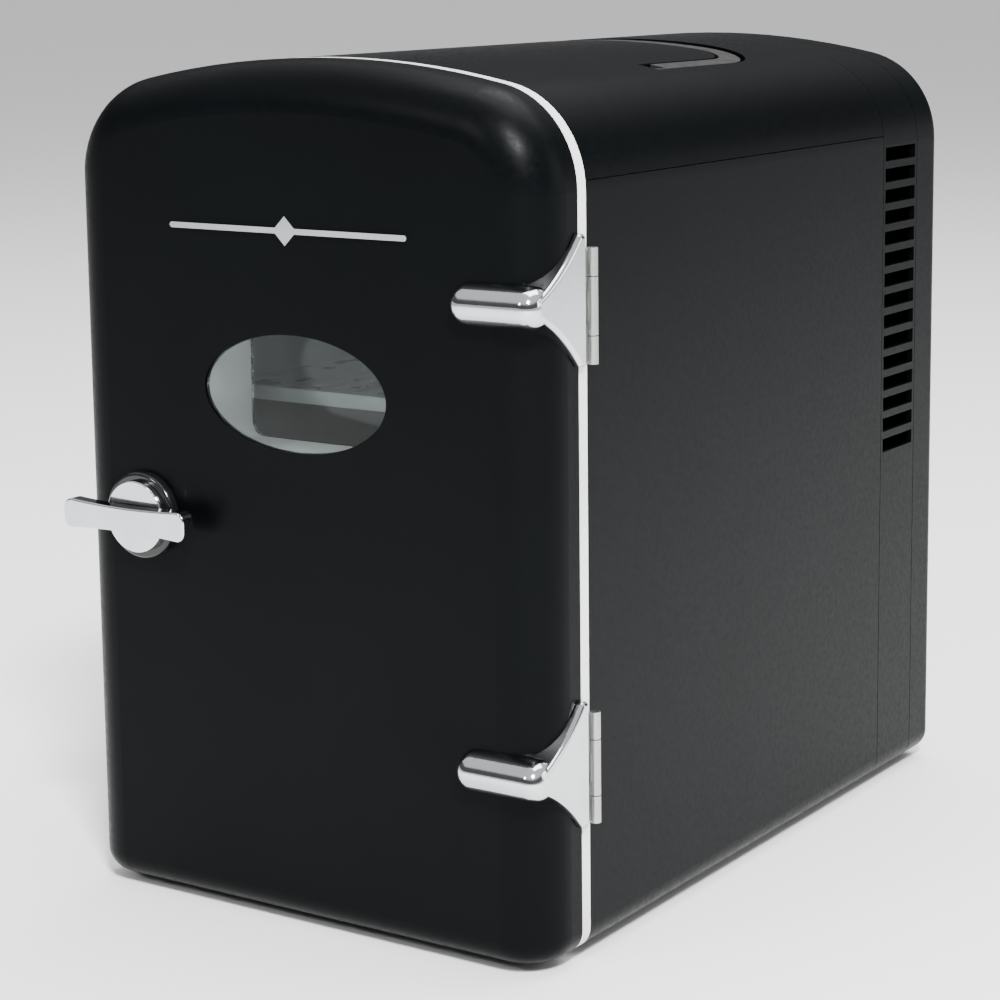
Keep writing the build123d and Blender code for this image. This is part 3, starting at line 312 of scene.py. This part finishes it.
class FRIDGE_OT_chrome(bpy.types.Operator):
    """Chrome on the latch, the hinge covers and the ornament"""

    bl_idname = "fridge.chrome"
    bl_label = "Chrome"

    def execute(self, context):
        look = context.scene.fridge_finishes
        finish = bright_metal("plated_chrome", look.chrome, 0.05, 0.14)
        paint(finish, "latch_lever", "latch_disc", "hinge_cover_top", "hinge_cover_bottom", "door_badge")
        ring, tree, shader = make_finish("gloss_black_ring", (0.006, 0.006, 0.007), 0.1)
        spread(tree, grain(tree, 300.0), shader.inputs["Roughness"], 0.07, 0.16)
        relief(tree, shader, grain(tree, 500.0, 1.0), 0.00002, 0.1)
        paint(ring, "latch_escutcheon")
        return {"FINISHED"}


class FRIDGE_OT_steel(bpy.types.Operator):
    """Brushed and zinc-plated steel on the hinges, screws and latch works"""

    bl_idname = "fridge.steel"
    bl_label = "Steel"

    def execute(self, context):
        look = context.scene.fridge_finishes
        brushed = bright_metal(
            "brushed_steel", look.steel, 0.26, 0.46, (1.0, 1.0, 0.06), 2400.0, 0.00001, 0.4
        )
        paint(brushed, "body_leaf_top", "body_leaf_bottom", "door_leaf_top", "door_leaf_bottom", "hinge_pins")
        zinc = bright_metal(
            "zinc_plate", (0.62, 0.63, 0.60), 0.22, 0.42, scale=600.0, depth=0.00001, strength=0.3
        )
        paint(zinc, "handle_pins", "rear_cover_screws", "fan_screws", "latch_spindle", "latch_cam",
              "latch_nut", "latch_strike", "inlet_pins")
        return {"FINISHED"}


class FRIDGE_OT_window(bpy.types.Operator):
    """Clear moulded plastic in the door's window"""

    bl_idname = "fridge.window"
    bl_label = "Window"

    def execute(self, context):
        look = context.scene.fridge_finishes
        finish, tree, shader = make_finish("clear_lens", look.lens, 0.02)
        shader.inputs["Transmission Weight"].default_value = 1.0
        shader.inputs["IOR"].default_value = 1.2
        spread(tree, grain(tree, 60.0), shader.inputs["Roughness"], 0.01, 0.045)
        relief(tree, shader, grain(tree, 12.0, 1.0), 0.0002, 0.06)
        paint(finish, "window_lens", "window_pane")
        return {"FINISHED"}


class FRIDGE_OT_fittings(bpy.types.Operator):
    """Matt black mouldings: the handle, its tray, the sockets, the fans and the feet"""

    bl_idname = "fridge.fittings"
    bl_label = "Fittings"

    def execute(self, context):
        look = context.scene.fridge_finishes
        paint(moulded("handle_plastic", shade(look.fittings, 0.7), 0.4, 1700.0, 0.00004, 0.35, 0.42),
              "carry_handle", "handle_tray")
        paint(moulded("matt_black", look.fittings, 0.55, 1200.0, 0.00006, 0.4),
              "cover_posts", "cold_fan_frame", "hot_fan_frame", "cold_fan_rotor", "hot_fan_rotor",
              "board_posts", "switch_housing", "ac_inlet", "dc_inlet")
        paint(moulded("rocker_gloss", shade(look.fittings, 1.3), 0.22, 900.0, 0.00002, 0.2), "switch_rocker")
        rubber, tree, shader = make_finish("foot_rubber", (0.022, 0.022, 0.022), 0.8)
        mottle(tree, grain(tree, 60.0), shader, (0.016, 0.016, 0.016), (0.034, 0.034, 0.033))
        relief(tree, shader, cells(tree, 900.0), 0.00012, 0.4)
        paint(rubber, "rubber_feet")
        return {"FINISHED"}


class FRIDGE_OT_works(bpy.types.Operator):
    """The cooling module, the foam and the electrics"""

    bl_idname = "fridge.works"
    bl_label = "Works"

    def execute(self, context):
        look = context.scene.fridge_finishes
        foam, tree, shader = make_finish("moulded_foam", look.foam, 0.9)
        mottle(tree, grain(tree, 40.0), shader, shade(look.foam, 0.8), shade(look.foam, 1.08))
        relief(tree, shader, cells(tree, 420.0), 0.0006, 0.5)
        paint(foam, "insulation", "door_foam")
        fins = bright_metal("extruded_aluminium", (0.68, 0.69, 0.70), 0.24, 0.44, (1.0, 1.0, 0.05), 1800.0,
                            0.00001, 0.4)
        paint(fins, "cold_sink", "hot_sink")
        plates, tree, shader = make_finish("module_ceramic", (0.84, 0.84, 0.81), 0.6)
        mottle(tree, grain(tree, 900.0), shader, (0.74, 0.74, 0.71), (0.88, 0.88, 0.85))
        relief(tree, shader, grain(tree, 2000.0), 0.00002, 0.3)
        paint(plates, "peltier_module")
        board, tree, shader = make_finish("board_lacquer", (0.03, 0.16, 0.06), 0.32)
        mottle(tree, cells(tree, 320.0), shader, (0.02, 0.11, 0.045), (0.06, 0.26, 0.10), 0.25, 0.32)
        relief(tree, shader, cells(tree, 320.0), 0.00008, 0.3)
        paint(board, "power_board")
        paint(moulded("board_parts_plastic", (0.03, 0.03, 0.035), 0.45), "board_parts")
        wire, tree, shader = make_finish("wire_cover", (0.35, 0.03, 0.02), 0.45)
        stripes = grain(tree, 500.0, 2.0, (1.0, 1.0, 0.1))
        mottle(tree, stripes, shader, (0.03, 0.02, 0.02), (0.42, 0.03, 0.02), 0.48, 0.52)
        paint(wire, "fan_wires")
        lamp, tree, shader = make_finish("lamp_lens", (0.10, 0.48, 0.14), 0.12)
        shader.inputs["Transmission Weight"].default_value = 0.5
        spread(tree, grain(tree, 700.0), shader.inputs["Roughness"], 0.08, 0.22)
        paint(lamp, "status_lamps")
        return {"FINISHED"}


# ---------------------------------------------------------------- pieces made here


class FRIDGE_OT_gasket(bpy.types.Operator):
    """A magnetic seal with rounded edges in the groove on the back of the door"""

    bl_idname = "fridge.gasket"
    bl_label = "Gasket"

    def execute(self, context):
        look = context.scene.fridge_finishes
        low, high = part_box("door_gasket")
        width, rise = high.x - low.x, high.z - low.z
        middle = ((low.x + high.x) / 2, low.y, (low.z + high.z) / 2)
        fresh()
        bpy.ops.mesh.primitive_plane_add(size=1.0, location=middle, rotation=(pi / 2, 0, 0))
        seal = bpy.context.object
        seal.scale = (width, rise, 1.0)
        bpy.ops.object.transform_apply(location=False, rotation=False, scale=True)
        bpy.ops.object.mode_set(mode="EDIT")
        bpy.ops.mesh.select_all(action="SELECT")
        bpy.ops.mesh.bevel(offset=SEAL_BEND, segments=8, affect="VERTICES")
        bpy.ops.mesh.select_all(action="SELECT")
        for share in SEAL_STEPS:
            bpy.ops.mesh.inset(thickness=SEAL_WIDTH * share)
        bpy.ops.mesh.delete(type="FACE")
        bpy.ops.object.mode_set(mode="OBJECT")
        settle(seal, "gasket_seal", "door", self.rubber(look.gasket))
        solid = seal.modifiers.new("wall", "SOLIDIFY")
        solid.thickness = high.y - low.y - 2 * SEAL_SLACK
        solid.offset = 1.0
        fresh()
        seal.select_set(True)
        bpy.context.view_layer.objects.active = seal
        bpy.ops.object.modifier_apply(modifier="wall")
        edge = seal.modifiers.new("edge", "BEVEL")
        edge.width, edge.segments, edge.limit_method = SEAL_EDGE, 2, "ANGLE"
        bpy.ops.object.modifier_apply(modifier="edge")
        self.inside_box(seal, low, high)
        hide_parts("door_gasket")
        return {"FINISHED"}

    def inside_box(self, seal, low, high):
        """Move the seal along Y so that it fills the depth that its groove has."""
        depths = [vertex.co.y for vertex in seal.data.vertices]
        shift = low.y + SEAL_SLACK - min(depths)
        for vertex in seal.data.vertices:
            vertex.co.y += shift
        if max(depths) + shift > high.y + SEAL_OVERRUN:
            raise RuntimeError("the seal is deeper than its groove")

    def rubber(self, colour):
        finish, tree, shader = make_finish("seal_rubber", colour, 0.6)
        mottle(tree, grain(tree, 80.0), shader, shade(colour, 0.86), shade(colour, 1.05))
        relief(tree, shader, grain(tree, 1400.0, 2.0), 0.00004, 0.3)
        return finish


# ---------------------------------------------------------------- stage


class FRIDGE_OT_stage(bpy.types.Operator):
    """A pale floor, soft lights and the camera"""

    bl_idname = "fridge.stage"
    bl_label = "Stage"

    def execute(self, context):
        setup = context.scene.fridge_stage
        fresh()
        bpy.ops.mesh.primitive_plane_add(size=setup.floor, location=(0, 0, 0))
        floor = bpy.context.object
        floor.name = "studio_floor"
        finish, tree, shader = make_finish("floor_card", setup.floor_colour, 0.85)
        mottle(tree, grain(tree, 3.0), shader, shade(setup.floor_colour, 0.99), setup.floor_colour)
        floor.data.materials.append(finish)
        world = bpy.data.worlds.new("studio")
        world.use_nodes = True
        self.surround(world.node_tree, setup.surround)
        context.scene.world = world
        for name, (place, aim, size, power) in LIGHTS.items():
            self.light(name, place, aim, size, power)
        self.camera(setup)
        return {"FINISHED"}

    def surround(self, tree, strength):
        """White, with a dark band low over the horizon that the plated pieces mirror."""
        place = tree.nodes.new("ShaderNodeTexCoord")
        parts = tree.nodes.new("ShaderNodeSeparateXYZ")
        tree.links.new(place.outputs["Generated"], parts.inputs["Vector"])
        ramp = tree.nodes.new("ShaderNodeValToRGB")
        bands = ramp.color_ramp
        bands.elements[0].position, bands.elements[0].color = 0.0, SURROUND_WHITE
        bands.elements[1].position, bands.elements[1].color = 1.0, SURROUND_WHITE
        for position, tone in SURROUND_STOPS:
            band = bands.elements.new(position)
            band.color = (tone, tone, tone * SURROUND_BLUE, 1.0)
        tree.links.new(parts.outputs["Z"], ramp.inputs["Fac"])
        back = tree.nodes["Background"]
        back.inputs["Strength"].default_value = strength
        tree.links.new(ramp.outputs["Color"], back.inputs["Color"])

    def light(self, name, place, aim, size, power):
        """A square soft light that points at a place."""
        bpy.ops.object.light_add(type="AREA", location=place)
        lamp = bpy.context.object
        lamp.name = name
        lamp.data.size = size
        lamp.data.energy = power
        lamp.rotation_mode = "QUATERNION"
        lamp.rotation_quaternion = (Vector(aim) - Vector(place)).to_track_quat("-Z", "Y")

    def camera(self, setup):
        """The camera stands to the right of the door and a little above the top."""
        yaw, pitch, roll = radians(CAMERA_YAW), radians(CAMERA_PITCH), radians(CAMERA_ROLL)
        ahead = Vector((-sin(yaw) * cos(pitch), cos(yaw) * cos(pitch), -sin(pitch)))
        right = Vector((cos(yaw), sin(yaw), 0.0))
        up = right.cross(ahead)
        across = cos(roll) * right + sin(roll) * up
        upward = -sin(roll) * right + cos(roll) * up
        bpy.ops.object.camera_add(location=CAMERA_PLACE)
        eye = bpy.context.object
        eye.name = "studio_camera"
        facing = Matrix((across, upward, -ahead)).transposed().to_4x4()
        eye.matrix_world = Matrix.Translation(eye.location) @ facing
        eye.data.sensor_width = CAMERA_SENSOR_MM
        eye.data.lens = setup.lens_mm
        eye.data.shift_y = CAMERA_SHIFT
        eye.data.clip_start, eye.data.clip_end = CAMERA_NEAR, CAMERA_FAR
        bpy.context.scene.camera = eye


# ---------------------------------------------------------------- panel and start


PIECES = (
    FRIDGE_OT_shell,
    FRIDGE_OT_trim,
    FRIDGE_OT_interior,
    FRIDGE_OT_chrome,
    FRIDGE_OT_steel,
    FRIDGE_OT_window,
    FRIDGE_OT_fittings,
    FRIDGE_OT_works,
    FRIDGE_OT_gasket,
    FRIDGE_OT_stage,
)


class FRIDGE_PT_panel(bpy.types.Panel):
    """Lists the pieces and their settings"""

    bl_idname = "FRIDGE_PT_panel"
    bl_label = "Fridge"
    bl_space_type = "VIEW_3D"
    bl_region_type = "UI"
    bl_category = "Fridge"

    def draw(self, context):
        for settings in (context.scene.fridge_finishes, context.scene.fridge_stage):
            for name in settings.bl_rna.properties.keys():
                if name not in ("rna_type", "name"):
                    self.layout.prop(settings, name)
        for operator in PIECES:
            self.layout.operator(operator.bl_idname)


CLASSES = (FridgeFinishes, FridgeStage, *PIECES, FRIDGE_PT_panel)


def register():
    for item in CLASSES:
        bpy.utils.register_class(item)
    bpy.types.Scene.fridge_finishes = bpy.props.PointerProperty(type=FridgeFinishes)
    bpy.types.Scene.fridge_stage = bpy.props.PointerProperty(type=FridgeStage)


def unregister():
    del bpy.types.Scene.fridge_stage
    del bpy.types.Scene.fridge_finishes
    for item in reversed(CLASSES):
        bpy.utils.unregister_class(item)


def main():
    register()
    for operator in PIECES:
        group, action = operator.bl_idname.split(".")
        getattr(getattr(bpy.ops, group), action)()


if __name__ == "__main__":
    main()
